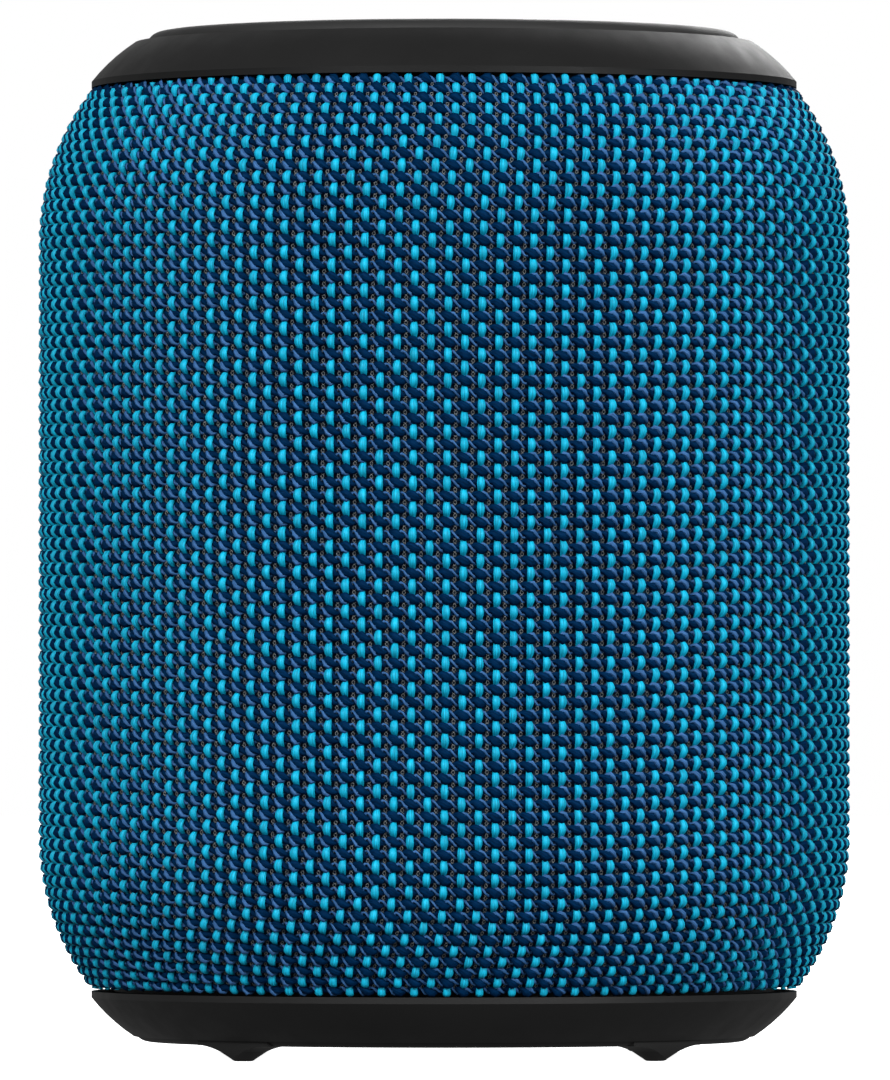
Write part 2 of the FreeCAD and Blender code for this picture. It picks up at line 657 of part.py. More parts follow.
# ---- Electronics bay ----
def main_board():
    board = disc(MAIN_BOARD_RADIUS, BOARD_BOTTOM, BOARD_TOP)
    low, high = BOARD_BOTTOM - 1, BOARD_TOP + 1
    back = block(-MAIN_BOARD_RADIUS, MAIN_BOARD_RADIUS, BEZEL_BACK - 0.3, MAIN_BOARD_RADIUS + 1, low, high)
    tools = [back]
    for angle in BASE_POST_ANGLES:
        tools.append(disc(BASE_POST_RADIUS + 0.4, low, high, *on_circle(BASE_POST_CIRCLE, angle)))
    tools += [disc(BOARD_HOLE, low, high, x, y) for x, y in BOARD_POSTS]
    return board.cut(tools)


def bluetooth_module():
    carrier = block(-9, 9, -20, -6, BOARD_TOP + 0.02, BOARD_TOP + 0.8)
    shield = block(-6, 8, -19, -7, BOARD_TOP + 0.8, BOARD_TOP + 2.8)
    return fuse(carrier, shield)


def amplifier_chip():
    return block(12, 22, -6, 4, BOARD_TOP + 0.02, BOARD_TOP + 1.2)


def board_capacitors():
    spots = ((-14.0, 3.0), (-20.0, -3.0), (14.0, 9.0))
    return group(disc(3.0, BOARD_TOP + 0.02, BOARD_TOP + 7.5, x, y) for x, y in spots)


def battery_cell():
    """Lithium cell, lying across the bay, with the raised end on the +X side."""
    start = FreeCAD.Vector(-CELL_LENGTH / 2, CELL_Y, CELL_Z)
    can = Part.makeCylinder(CELL_RADIUS, CELL_LENGTH - 1, start, X)
    nub = Part.makeCylinder(3.0, 1.0, start + X * (CELL_LENGTH - 1), X)
    return fuse(can, nub)


def battery_strap():
    """Moulded arch that holds the cell down, with a foot each side."""
    inner, outer, half = CELL_RADIUS + GAP, CELL_RADIUS + 0.9, 6.0
    arch = Part.makeCylinder(outer, 2 * half, FreeCAD.Vector(-half, CELL_Y, CELL_Z), X)
    legs = block(-half, half, CELL_Y - outer, CELL_Y + outer, BASE_FLOOR_TOP + 0.02, CELL_Z)
    foot_reach = outer + 5
    low, high = BASE_FLOOR_TOP + 0.02, BASE_FLOOR_TOP + 1.2
    feet = block(-half, half, CELL_Y - foot_reach, CELL_Y + foot_reach, low, high)
    hollow = Part.makeCylinder(inner, 40, FreeCAD.Vector(-20, CELL_Y, CELL_Z), X)
    way = block(-20, 20, CELL_Y - inner, CELL_Y + inner, 0, CELL_Z)
    return fuse(arch, legs, feet).cut([hollow, way])


def ribbon_cable():
    """Flat cable from the main board up to the control board, with a plug at each end."""
    low, high = BOARD_TOP + 2.0, CONTROL_BOARD_BOTTOM - 1.2
    inner_end, plug = 20.5, 4.0

    def rounded(grow, corner):
        outer = RIBBON_RADIUS + grow
        bottom, top = low - grow, high + grow
        half = RIBBON_WIDTH / 2
        body = block(0, outer, -half, half, bottom, top)
        edges = [
            e
            for e in body.Edges
            if abs(e.Vertexes[0].X - outer) < 1e-6
            and abs(e.Vertexes[1].X - outer) < 1e-6
            and abs(e.Vertexes[0].Y - e.Vertexes[1].Y) > 1
        ]
        return body.makeFillet(corner, edges)

    strip = rounded(RIBBON_HALF, 2.3).cut(rounded(-RIBBON_HALF, 1.7))
    strip = strip.cut([block(-1, inner_end, -10, 10, 0, 120), block(-1, 26, -10, 10, 0, 60)])
    half = RIBBON_WIDTH / 2 + 0.5
    top_plug = block(inner_end, inner_end + plug, -half, half, high, CONTROL_BOARD_BOTTOM - 0.02)
    low_plug = block(26, 26 + plug, -half, half, BOARD_TOP + 0.02, low)
    return fuse(strip, top_plug, low_plug).rotated(ORIGIN, Z, RIBBON_ANGLE)


def base_screws():
    return group(
        screw(*on_circle(BASE_POST_CIRCLE, a), CHAMBER_BOTTOM - 6, 11.5, up=False, head=2.2, shank=1.25)
        for a in BASE_POST_ANGLES
    )


# ---- Sockets ----
def usb_c_socket():
    """Metal shell with its tongue, on a small foot that stands on the main board."""
    shell = rounded_box(8.94, 3.26, 1.62, 28.5, SOCKET_FACE, USB_X)
    hollow = rounded_box(8.34, 2.66, 1.32, 29.2, SOCKET_FACE + 1, USB_X)
    tongue = block(USB_X - 3.35, USB_X + 3.35, 29.0, 34.9, SOCKET_Z - 0.35, SOCKET_Z + 0.35)
    foot_block = block(USB_X - 4.0, USB_X + 4.0, 28.6, 34.5, BOARD_TOP + 0.02, SOCKET_Z - 1.55)
    return fuse(shell.cut(hollow), tongue, foot_block)


def aux_jack():
    """3.5 mm stereo jack: a body on the main board and a round nose in the bezel."""
    back = SOCKET_FACE - AUX_BORE_LENGTH
    body = block(AUX_X - 3.2, AUX_X + 3.2, back - 1, BEZEL_BACK - 0.1, BOARD_TOP + 0.02, SOCKET_Z + 3.0)
    nose = Part.makeCylinder(2.9, 6, FreeCAD.Vector(AUX_X, SOCKET_FACE - 6, SOCKET_Z), Y)
    bore = Part.makeCylinder(AUX_BORE, AUX_BORE_LENGTH + 1, FreeCAD.Vector(AUX_X, back, SOCKET_Z), Y)
    return fuse(body, nose).cut(bore)


def hinge_bead(radius):
    start = FreeCAD.Vector(HINGE_X, HINGE_Y, SOCKET_Z - BEAD_LENGTH / 2)
    return Part.makeCylinder(radius, BEAD_LENGTH, start, Z)


def strip_foot(extra):
    half = BEAD_LENGTH / 2 + extra
    foot_box = block(-16.5 - extra, -15.25 + extra, 40.4 - extra, 46, SOCKET_Z - half, SOCKET_Z + half)
    return foot_box.common(disc(COVER_OUTER, 20, 45)) if extra == 0 else foot_box


def cover_hinge_strip():
    """Fixed edge of the socket cover's moulding, with the bead that the cover turns about."""
    return fuse(strip_foot(0), hinge_bead(BEAD_RADIUS))


def port_bezel():
    """Cup that lines the opening in the sleeve. The sockets come through its floor."""
    cup = rounded_box(BEZEL_WIDTH, BEZEL_HEIGHT, BEZEL_CORNER, BEZEL_BACK, 50)
    cup = cup.common(disc(SLEEVE_RADIUS, 20, 45))
    pocket = rounded_box(POCKET_WIDTH, POCKET_HEIGHT, POCKET_CORNER, POCKET_FLOOR, 50)
    usb_hole = rounded_box(9.04, 3.36, 1.67, 30, 40, USB_X)
    aux_hole = Part.makeCylinder(3.0, 10, FreeCAD.Vector(AUX_X, 30, SOCKET_Z), Y)
    thumb_dish = Part.makeSphere(6.0, FreeCAD.Vector(19.0, 46.2, SOCKET_Z))
    hinge_room = [strip_foot(0.05), hinge_bead(BEAD_RADIUS + 0.05)]
    return cup.cut([pocket, usb_hole, aux_hole, thumb_dish] + hinge_room)


def port_cover():
    """Curved flap over the sockets. It turns about the bead on its -X side."""
    plate = rounded_box(COVER_WIDTH, COVER_HEIGHT, COVER_CORNER, 35, 50)
    plate = plate.common(disc(COVER_OUTER, 20, 45).cut(disc(COVER_INNER, 20, 45)))
    return plate.cut(hinge_bead(BEAD_RADIUS + 0.15).fuse(disc(BEAD_RADIUS + 0.15, 20, 45, HINGE_X, HINGE_Y)))


def build():
    os.makedirs("parts", exist_ok=True)
    for make in (
        fabric_sleeve, grille_frame, top_shell, control_panel, status_light, foot_pad, base_shell,
        control_board, tact_switches, board_screws, top_screws, seal_rings, chamber_body,
        chamber_gasket, chamber_lid, chamber_lid_screws, driver_gaskets, driver_screws, main_board,
        bluetooth_module, amplifier_chip, board_capacitors, battery_cell, battery_strap,
        ribbon_cable, base_screws, usb_c_socket, aux_jack, cover_hinge_strip, port_bezel,
        port_cover,
    ):
        save(make.__name__, make())
    for name, (x, y, radius) in KEYS.items():
        save(name, key(x, y, radius))
    for side, wall in (("rear", 90), ("front", 270)):
        for name, shape in driver_parts().items():
            save(side + "_driver_" + name, facing(shape, wall))
    for side, wall in (("right", 0), ("left", 180)):
        for name, shape in radiator_parts().items():
            save(side + "_radiator_" + name, facing(shape, wall))


build()
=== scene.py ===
"""Looks of the portable speaker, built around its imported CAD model, in metres and in the same frame.

The sleeve is a real weave. Bright yarns go up it, yarns of a dark and a blue ply twisted together go round
it, fine pale threads show in the holes between them, and a blue-black net lies behind. The CAD parts keep
their shapes and get procedural materials by their record slot.
"""
import json
import math

import bpy
import numpy as np
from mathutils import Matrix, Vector
from mathutils.bvhtree import BVHTree


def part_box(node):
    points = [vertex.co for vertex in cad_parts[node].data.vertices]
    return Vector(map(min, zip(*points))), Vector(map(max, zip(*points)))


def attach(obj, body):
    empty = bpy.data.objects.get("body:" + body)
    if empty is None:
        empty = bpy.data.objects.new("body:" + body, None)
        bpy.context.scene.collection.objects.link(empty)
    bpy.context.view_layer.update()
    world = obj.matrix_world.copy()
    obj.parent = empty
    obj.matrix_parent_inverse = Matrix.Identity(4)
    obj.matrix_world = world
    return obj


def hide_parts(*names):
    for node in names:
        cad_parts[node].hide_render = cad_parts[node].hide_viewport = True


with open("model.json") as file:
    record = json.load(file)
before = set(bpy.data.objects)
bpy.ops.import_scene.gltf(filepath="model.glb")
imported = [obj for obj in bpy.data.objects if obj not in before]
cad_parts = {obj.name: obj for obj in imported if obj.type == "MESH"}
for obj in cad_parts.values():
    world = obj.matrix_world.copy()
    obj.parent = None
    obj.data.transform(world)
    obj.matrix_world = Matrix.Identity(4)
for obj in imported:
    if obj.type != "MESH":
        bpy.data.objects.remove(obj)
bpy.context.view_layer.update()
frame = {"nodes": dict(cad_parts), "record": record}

MM = 0.001
TURN = 2 * math.pi

# ---- Sleeve ----
sleeve_low, sleeve_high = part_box("fabric_sleeve")
SLEEVE_RADIUS = sleeve_high.x
SHOULDER_RADIUS = 27.4 * MM     # of the rounding at each end of the sleeve
SHOULDER_HEIGHT = 17.0 * MM     # how far along Z it reaches
CLOTH_DEPTH = 0.66 * MM         # from the outer surface to the middle of the cloth
BACKING_DEPTH = 0.85 * MM       # from there to the backing net
BEND = SHOULDER_RADIUS - CLOTH_DEPTH
SHOULDER_TURN = math.asin(SHOULDER_HEIGHT / SHOULDER_RADIUS)
SHOULDER_ARC = BEND * SHOULDER_TURN
STRAIGHT = (sleeve_high.z - sleeve_low.z) - 2 * SHOULDER_HEIGHT
CLOTH_LENGTH = STRAIGHT + 2 * SHOULDER_ARC
FRONT = -TURN / 4

# ---- Weave ----
COLUMNS = 154
ROWS = 75
ROW_RISE = 0.36 * MM            # of the middle row above the middle of the cloth
ROW_SPAN = 50.58 * MM           # from the middle row to the outermost ones
ROW_CROWD = 0.0157              # rows at the caps are closer by three times this share than middle ones
ROW_SAG = 0.45 * MM             # rows hang this much lower at the front and back, and higher at the sides
ROWS_BEYOND = 3                 # rows past each edge that row numbers are worked out from
EDGE_ROW = 0.35 * MM            # no row comes closer than this to a cap
NET_TUCK = 0.5 * MM             # the backing net goes this far on, in under each cap
NET_COLUMNS, NET_ROWS = 3 * COLUMNS, 105
NET_THICKNESS = 0.12 * MM
SKEW_LOW, SKEW_LOW_REACH = math.radians(-1.9), 6.5 * MM     # how the columns stray near the lower edge
SKEW_HIGH, SKEW_HIGH_REACH = math.radians(1.17), 12 * MM    # and near the upper edge
SKEW_SLOPE = math.radians(1.0)  # and from the one edge to the other
SPREAD = 0.008                  # columns are this share further apart at the front, and closer at the back
SPREAD_LOW, SPREAD_HIGH, SPREAD_REACH = 0.105, 0.075, 10 * MM   # and by this more near the two edges
SIDE_DRIFT = math.radians(0.95)     # of the columns at the sides, and twice that at the back
UPRIGHT_STEPS = 5               # points on an upright yarn for each row
ROUND_STEPS = 6                 # points on a round-going yarn for each column
FINE_STEPS = 8                  # points on a fine thread for each row
UPRIGHT_SIDES, PLY_SIDES, FINE_SIDES = 7, 5, 3
UPRIGHT_PARTS, ROUND_PARTS = 5, 4   # pieces that the yarns are shared out over
YARN_STAGGER = 17.3             # mm that each yarn's streaks are moved along from those of the one before
UPRIGHT_LIFT, ROUND_LIFT = 0.36 * MM, 0.24 * MM     # out of the cloth over a crossing, and into it under one
ROUND_SINK = 0.28 * MM          # how much deeper a round-going yarn lies between two uprights
UPRIGHT_HALF_WIDTH, UPRIGHT_HALF_DEPTH = 0.45 * MM, 0.32 * MM
UPRIGHT_PINCH = 0.26            # share by which an upright yarn is thinner halfway down behind a row
UPRIGHT_SINK = 0.14 * MM        # and how much deeper it lies there than a plain wave would
TWIST_DRIFT = 5                 # extra turns of the twist in one round of the sleeve
TWIST_START = TURN / 4
DARK_PLY = (0.43 * MM, 0.22 * MM)   # radius of the ply, and its distance from the middle of the yarn
BLUE_PLY = (0.22 * MM, 0.40 * MM)
PLY_FLATTEN = 0.7               # depth of the twist as a share of its height
PLY_DEPTH = 0.8                 # depth of a ply as a share of its width
PLY_SPREAD = 0.40               # share by which a ply is wider at an upright yarn, and thinner between two
FINE_RADIUS = 0.04 * MM
FINE_SWAY = 0.21 * MM           # sideways, from the middle between two columns
FINE_DIP = 0.21 * MM            # a fine thread goes about 1.6 times this deeper behind each row
FINE_DEPTH = 0.1 * MM           # below the middle of the cloth
FINE_SQUARE = 3.0               # how square the steps of a fine thread are
FINE_HOLE = 0.15                # its steps are this far above and below the middle of a hole, in rows


def profile(along):
    """Radius, height and upward tilt of the middle of the cloth, at a distance along it from its low edge."""
    tilt = (np.minimum(along - SHOULDER_ARC, 0) + np.maximum(along - SHOULDER_ARC - STRAIGHT, 0)) / BEND
    middle = sleeve_low.z + SHOULDER_HEIGHT + np.clip(along - SHOULDER_ARC, 0, STRAIGHT)
    radius = SLEEVE_RADIUS - SHOULDER_RADIUS + BEND * np.cos(tilt)
    return radius, middle + BEND * np.sin(tilt), tilt


def lean(angle, along):
    """How far the columns stray sideways, in radians, by a skew, a spread at the front and a drift."""
    low, high = along, CLOTH_LENGTH - along
    skew = SKEW_SLOPE * (along / CLOTH_LENGTH - 0.5)
    skew = skew + SKEW_LOW * np.exp(-(low / SKEW_LOW_REACH) ** 2)
    skew = skew + SKEW_HIGH * np.exp(-(high / SKEW_HIGH_REACH) ** 2)
    spread = SPREAD + SPREAD_LOW * np.exp(-(low / SPREAD_REACH) ** 2)
    spread = spread + SPREAD_HIGH * np.exp(-(high / SPREAD_REACH) ** 2)
    return skew + spread * np.sin(angle - FRONT) + SIDE_DRIFT * (1 - np.cos(angle - FRONT))


def row_height(row, angle):
    """Distance along the cloth of a row's middle. Rows hang lower at the front and the back."""
    steps = row / ((ROWS - 1) / 2) - 1
    climb = ROW_SPAN * steps * (1 + ROW_CROWD - ROW_CROWD * steps ** 2)
    return CLOTH_LENGTH / 2 + ROW_RISE + climb - ROW_SAG * np.cos(2 * (angle - FRONT))


def row_at(along, angle):
    """Row number, with its fraction, at a distance along the cloth."""
    rows = np.arange(-ROWS_BEYOND, ROWS + ROWS_BEYOND)
    level = along + ROW_SAG * np.cos(2 * (angle - FRONT))
    return np.interp(level, row_height(rows, FRONT) + ROW_SAG, rows)


def cloth(angle, along, lift):
    """Points on the cloth, with their outward and upward directions."""
    radius, height, tilt = profile(along)
    outward = np.stack([np.cos(tilt) * np.cos(angle), np.cos(tilt) * np.sin(angle), np.sin(tilt)], -1)
    upward = np.stack([-np.sin(tilt) * np.cos(angle), -np.sin(tilt) * np.sin(angle), np.cos(tilt)], -1)
    middle = np.stack([radius * np.cos(angle), radius * np.sin(angle), height], -1)
    return middle + outward * lift[..., None], outward, upward


# ---- Opening for the sockets ----
bezel_low, bezel_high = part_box("port_bezel")
BEZEL_CORNER = 5.0 * MM
WINDOW_EDGE = 0.45 * MM         # yarns end this far inside the bezel's outline


def in_window(points):
    """True where a point is behind the bezel of the sockets."""
    half_w = (bezel_high.x - bezel_low.x) / 2 - WINDOW_EDGE
    half_h = (bezel_high.z - bezel_low.z) / 2 - WINDOW_EDGE
    corner = BEZEL_CORNER - WINDOW_EDGE
    across = np.maximum(np.abs(points[..., 0]) - half_w + corner, 0)
    up = np.maximum(np.abs(points[..., 2] - (bezel_low.z + bezel_high.z) / 2) - half_h + corner, 0)
    return (points[..., 1] > 0) & (np.hypot(across, up) < corner)


# ---- Mesh helpers ----
def add_object(name, mesh, material, body="housing"):
    """Puts a mesh in the scene as a piece that rides on a body."""
    obj = bpy.data.objects.new(name, mesh)
    bpy.context.scene.collection.objects.link(obj)
    mesh.materials.append(material)
    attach(obj, body)
    return obj


def build_mesh(name, points, faces, strand=None):
    """Mesh from points and a list of face arrays, each with one row for each face.

    strand gives each point its place on its yarn, for the material: two directions across it, in half widths,
    and the millimetres along it.
    """
    used, index = np.unique(np.concatenate([f.ravel() for f in faces]), return_inverse=True)
    sizes = np.concatenate([np.full(len(f), f.shape[1]) for f in faces])
    mesh = bpy.data.meshes.new(name)
    mesh.vertices.add(len(used))
    mesh.vertices.foreach_set("co", points[used].astype(np.float32).ravel())
    mesh.loops.add(len(index))
    mesh.loops.foreach_set("vertex_index", index.astype(np.int32).ravel())
    mesh.polygons.add(len(sizes))
    mesh.polygons.foreach_set("loop_start", np.concatenate([[0], np.cumsum(sizes)[:-1]]).astype(np.int32))
    mesh.polygons.foreach_set("use_smooth", np.ones(len(sizes), bool))
    mesh.update(calc_edges=True)
    if strand is not None:
        place_on_yarn = mesh.attributes.new("strand", "FLOAT_VECTOR", "POINT")
        place_on_yarn.data.foreach_set("vector", strand[used].astype(np.float32).ravel())
    return mesh


def along_yarn(middle):
    """Millimetres along each yarn, with a different start on each."""
    steps = np.linalg.norm(np.diff(middle, axis=1), axis=-1) / MM
    far = np.concatenate([np.zeros((len(middle), 1)), np.cumsum(steps, axis=1)], axis=1)
    return far + YARN_STAGGER * np.arange(len(middle))[:, None]


def tube_mesh(name, middle, across, up, sides, closed):
    """Yarns as tubes round the points middle, (yarns, points, 3).

    across and up are their half width and half depth, as vectors. Stretches behind the bezel are left out,
    and the ends are capped.
    """
    yarns, count = middle.shape[:2]
    turn = np.arange(sides) / sides * TURN
    ring = across[:, :, None] * np.cos(turn)[:, None] + up[:, :, None] * np.sin(turn)[:, None]
    points = (middle[:, :, None] + ring).reshape(-1, 3)
    far = np.broadcast_to(along_yarn(middle)[:, :, None], (yarns, count, sides))
    strand = np.stack(np.broadcast_arrays(np.cos(turn), np.sin(turn), far), -1).reshape(-1, 3)
    index = np.arange(yarns * count * sides).reshape(yarns, count, sides)
    keep = ~in_window(middle)
    after = np.roll(keep, -1, axis=1)
    if not closed:
        after[:, -1] = False
    here, ahead = index, np.roll(index, -1, axis=1)
    quads = np.stack([here, np.roll(here, -1, 2), np.roll(ahead, -1, 2), ahead], -1)[keep & after]
    before = np.roll(keep & after, 1, axis=1)
    starts = index[keep & after & ~before][:, ::-1]
    ends = index[keep & before & ~after]
    return build_mesh(name, points, [quads.reshape(-1, 4), starts, ends], strand)


# ---- Yarns ----
def directions(middle, outward, closed):
    """Unit directions across and out of each yarn, from its run."""
    if closed:
        run = np.roll(middle, -1, axis=1) - np.roll(middle, 1, axis=1)
    else:
        run = np.gradient(middle, axis=1)
    run /= np.linalg.norm(run, axis=-1, keepdims=True)
    across = np.cross(run, outward)
    across /= np.linalg.norm(across, axis=-1, keepdims=True)
    return across, np.cross(across, run)


def upright_places(first, last, steps_per_row, shift):
    """Angle, distance along the cloth and row of points on the columns first to last, moved shift columns."""
    steps = round(ROWS * steps_per_row)
    along = np.linspace(0, CLOTH_LENGTH, steps)[None, :]
    flat_angle = (np.arange(first, last)[:, None] + shift) / COLUMNS * TURN
    angle = flat_angle + lean(flat_angle, along)
    along = np.broadcast_to(along, angle.shape)
    return angle, along, row_at(along, angle)


def upright_yarns(material, first, last, name):
    """Bright yarns that go up the sleeve, over one row and under the next."""
    angle, along, row = upright_places(first, last, UPRIGHT_STEPS, 0)
    column = np.arange(first, last)[:, None]
    wave = np.cos(math.pi * (row + column))
    middle, outward, _ = cloth(angle, along, UPRIGHT_LIFT * wave - UPRIGHT_SINK * (1 - wave ** 2))
    across, up = directions(middle, outward, False)
    girth = (1 - UPRIGHT_PINCH * (1 - wave))[..., None]
    across, up = across * UPRIGHT_HALF_WIDTH * girth, up * UPRIGHT_HALF_DEPTH * girth
    mesh = tube_mesh(name, middle, across, up, UPRIGHT_SIDES, False)
    return add_object(name, mesh, material)


def fine_threads(material, side, first, last, name):
    """Thin pale threads that go up between the columns in square steps and show in the holes of the weave.

    side is 1 or -1: the threads of one side mirror those of the other, so that a pair makes a small ring in
    each hole.
    """
    angle, along, row = upright_places(first, last, FINE_STEPS, 0.5)
    step = np.cos(TURN * row) + math.cos(TURN * FINE_HOLE)
    sway = side * FINE_SWAY * np.tanh(FINE_SQUARE * step)
    lift = -FINE_DEPTH - FINE_DIP * np.maximum(step, 0)
    middle, outward, _ = cloth(angle + sway / SLEEVE_RADIUS, along, lift)
    across, up = directions(middle, outward, False)
    mesh = tube_mesh(name, middle, across * FINE_RADIUS, up * FINE_RADIUS, FINE_SIDES, False)
    return add_object(name, mesh, material)


def round_yarns(material, ply, side, first, last, name):
    """One ply of the yarns that go round the sleeve.

    side is 0 for the dark ply and half a turn for the blue one.
    """
    radius, offset = ply
    column = np.arange(COLUMNS * ROUND_STEPS)[None, :] / ROUND_STEPS
    row = np.arange(first, last)[:, None]
    flat_angle = column / COLUMNS * TURN
    along = np.clip(row_height(row, flat_angle), EDGE_ROW, CLOTH_LENGTH - EDGE_ROW)
    angle = flat_angle + lean(flat_angle, along)
    lift = -ROUND_LIFT * np.cos(math.pi * (column + row)) - ROUND_SINK * (1 - np.cos(TURN * column)) / 2
    twist = TURN * (1 + TWIST_DRIFT / COLUMNS) * column + TWIST_START + side
    middle, outward, upward = cloth(angle, along, lift)
    middle = middle + offset * (
        PLY_FLATTEN * np.cos(twist)[..., None] * outward - np.sin(twist)[..., None] * upward
    )
    across, up = directions(middle, outward, True)
    width = radius * (1 + PLY_SPREAD * np.cos(TURN * column))[..., None]
    mesh = tube_mesh(name, middle, across * width, up * radius * PLY_DEPTH, PLY_SIDES, True)
    return add_object(name, mesh, material)


def backing_net(material):
    """Thin blue-black net behind the yarns, the sheet that the sleeve is cut from."""
    along = np.linspace(-NET_TUCK, CLOTH_LENGTH + NET_TUCK, NET_ROWS)[None, :]
    angle = (np.arange(NET_COLUMNS) / NET_COLUMNS * TURN)[:, None]
    along, angle = np.broadcast_arrays(along, angle)
    middle, _, _ = cloth(angle, along, np.full(along.shape, -BACKING_DEPTH))
    index = np.arange(NET_COLUMNS * NET_ROWS).reshape(NET_COLUMNS, NET_ROWS)
    ahead = np.roll(index, -1, axis=0)
    quads = np.stack([index[:, :-1], ahead[:, :-1], ahead[:, 1:], index[:, 1:]], -1)
    centres = (middle[:, :-1] + np.roll(middle, -1, axis=0)[:, 1:]) / 2
    mesh = build_mesh("sleeve_backing", middle.reshape(-1, 3), [quads[~in_window(centres)]])
    net = add_object("sleeve_backing", mesh, material)
    thicken = net.modifiers.new("thickness", "SOLIDIFY")
    thicken.thickness = NET_THICKNESS
    return net


def in_parts(total, parts):
    """Number, first yarn and end of each part that the yarns are shared out over."""
    edges = [round(total * k / parts) for k in range(parts + 1)]
    return zip(range(1, parts + 1), edges[:-1], edges[1:])


def weave_sleeve(materials):
    """All the yarns and the net behind them, in place of the plain sleeve of the CAD model."""
    bright, fine = materials["bright_yarn"], materials["fine_thread"]
    dark, blue = materials["dark_yarn"], materials["blue_yarn"]
    for k, first, last in in_parts(COLUMNS, UPRIGHT_PARTS):
        upright_yarns(bright, first, last, f"sleeve_upright_yarns_{k}")
        for side, mark in ((1, "a"), (-1, "b")):
            fine_threads(fine, side, first, last, f"sleeve_fine_threads_{k}{mark}")
    for k, first, last in in_parts(ROWS, ROUND_PARTS):
        round_yarns(dark, DARK_PLY, 0.0, first, last, f"sleeve_dark_ply_{k}")
        round_yarns(blue, BLUE_PLY, TURN / 2, first, last, f"sleeve_blue_ply_{k}")
    net = backing_net(materials["backing"])
    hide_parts("fabric_sleeve")


# ---- Key symbols and cover ribs, whose paths and widths are in plain millimetres ----
STROKE_WIDTH = 0.65
STROKE_RISE, STROKE_SINK = 0.12 * MM, 0.1 * MM      # of a stroke's top above the surface, and its foot below
RAY_START = 5                   # above the surface, from where the strokes are dropped on it
KEY_SYMBOL = 1.9                # half the size of a small key's symbol
PLAY_SYMBOL = 2.6
WAVE_HALF_TURN = 48             # degrees
RIB_HALF_HEIGHT, RIB_PITCH, RIB_COUNT = 2.6, 1.3, 4
RIB_PLACE = 10.4                # of the middle of the ribs, from the middle of the cover
SYMBOL_ARC_STEPS = 24


def arc(radius, start, end):
    """Points on an arc about the middle of a symbol, from one angle to the other, in degrees."""
    turns = np.linspace(math.radians(start), math.radians(end), SYMBOL_ARC_STEPS)
    return [(radius * math.cos(t), radius * math.sin(t)) for t in turns]


def stroke_edges(path, closed):
    """Left and right edges of a stroke along a path, with mitred corners."""
    path = np.array(path, float)
    run = np.roll(path, -1, axis=0) - path
    if not closed:
        run[-1] = run[-2]
    run /= np.linalg.norm(run, axis=1, keepdims=True)
    normal = np.stack([-run[:, 1], run[:, 0]], -1)
    before = np.roll(normal, 1, axis=0)
    if not closed:
        before[0] = normal[0]
    corner = normal + before
    corner *= STROKE_WIDTH / np.sum(corner ** 2, axis=1, keepdims=True)
    return path + corner, path - corner


def raised_strokes(name, node_name, strokes, centre, across, upward, material, slot):
    """Raised lines on a CAD node whose body has the same name.

    strokes is a list of (path, closed), each path in mm from centre, along the directions across and upward.
    """
    outward = across.cross(upward)
    surface = BVHTree.FromObject(frame["nodes"][node_name], bpy.context.evaluated_depsgraph_get())
    points, faces = [], []
    for path, closed in strokes:
        rings = []
        for pair in zip(*stroke_edges(path, closed)):
            above = [centre + (across * x + upward * y + outward * RAY_START) * MM for x, y in pair]
            left, right = [surface.ray_cast(point, -outward)[0] for point in above]
            rings.append(np.arange(4) + len(points))
            points += [left + outward * STROKE_RISE, right + outward * STROKE_RISE]
            points += [right - outward * STROKE_SINK, left - outward * STROKE_SINK]
        ahead = rings[1:] + rings[:1] if closed else rings[1:]
        for here, there in zip(rings, ahead):
            # a ring has four corners, so k - 3 is the one after k
            faces += [(here[k], there[k], there[k - 3], here[k - 3]) for k in range(4)]
        if not closed:
            faces += [rings[0], rings[-1][::-1]]
    mesh = build_mesh(name, np.array(points), [np.array(faces)])
    mesh.shade_flat()
    add_object(name, mesh, material, node_name)


def symbol_strokes():
    """Plain symbols of the five keys, each a list of (path, closed)."""
    r, p = KEY_SYMBOL, PLAY_SYMBOL
    bar = [(-r, 0), (r, 0)]
    waves = [
        (arc(r * size, turn - WAVE_HALF_TURN, turn + WAVE_HALF_TURN), False)
        for size in (0.55, 1.15)
        for turn in (0, 180)
    ]
    pause = [([(x * p, -0.8 * p), (x * p, 0.8 * p)], False) for x in (0.75, 1.25)]
    return {
        "play_button": [([(-1.25 * p, -0.8 * p), (0.15 * p, 0), (-1.25 * p, 0.8 * p)], True)] + pause,
        "power_button": [(arc(r * 0.95, 125, 415), False), ([(0, r * 0.3), (0, r * 1.2)], False)],
        "pairing_button": waves + [([(0, -r * 0.18), (0, r * 0.18)], False)],
        "volume_up_button": [(bar, False), ([(0, -r), (0, r)], False)],
        "volume_down_button": [(bar, False)],
    }


def mark_keys(material):
    """A raised symbol on top of each key."""
    for key, strokes in symbol_strokes().items():
        low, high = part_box(key)
        centre = Vector(((low.x + high.x) / 2, (low.y + high.y) / 2, high.z))
        axes = Vector((1, 0, 0)), Vector((0, 1, 0))
        raised_strokes(f"{key}_symbol", key, strokes, centre, *axes, material, "white_plastic")


def rib_cover(material):
    """Short upright ribs to grip the free end of the port cover."""
    low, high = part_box("port_cover")
    centre = Vector(((low.x + high.x) / 2, high.y, (low.z + high.z) / 2))
    places = [-RIB_PLACE + (k - (RIB_COUNT - 1) / 2) * RIB_PITCH for k in range(RIB_COUNT)]
    ribs = [([(x, -RIB_HALF_HEIGHT), (x, RIB_HALF_HEIGHT)], False) for x in places]
    axes = Vector((-1, 0, 0)), Vector((0, 0, 1))
    raised_strokes("port_cover_ribs", "port_cover", ribs, centre, *axes, material, "cover_rubber")


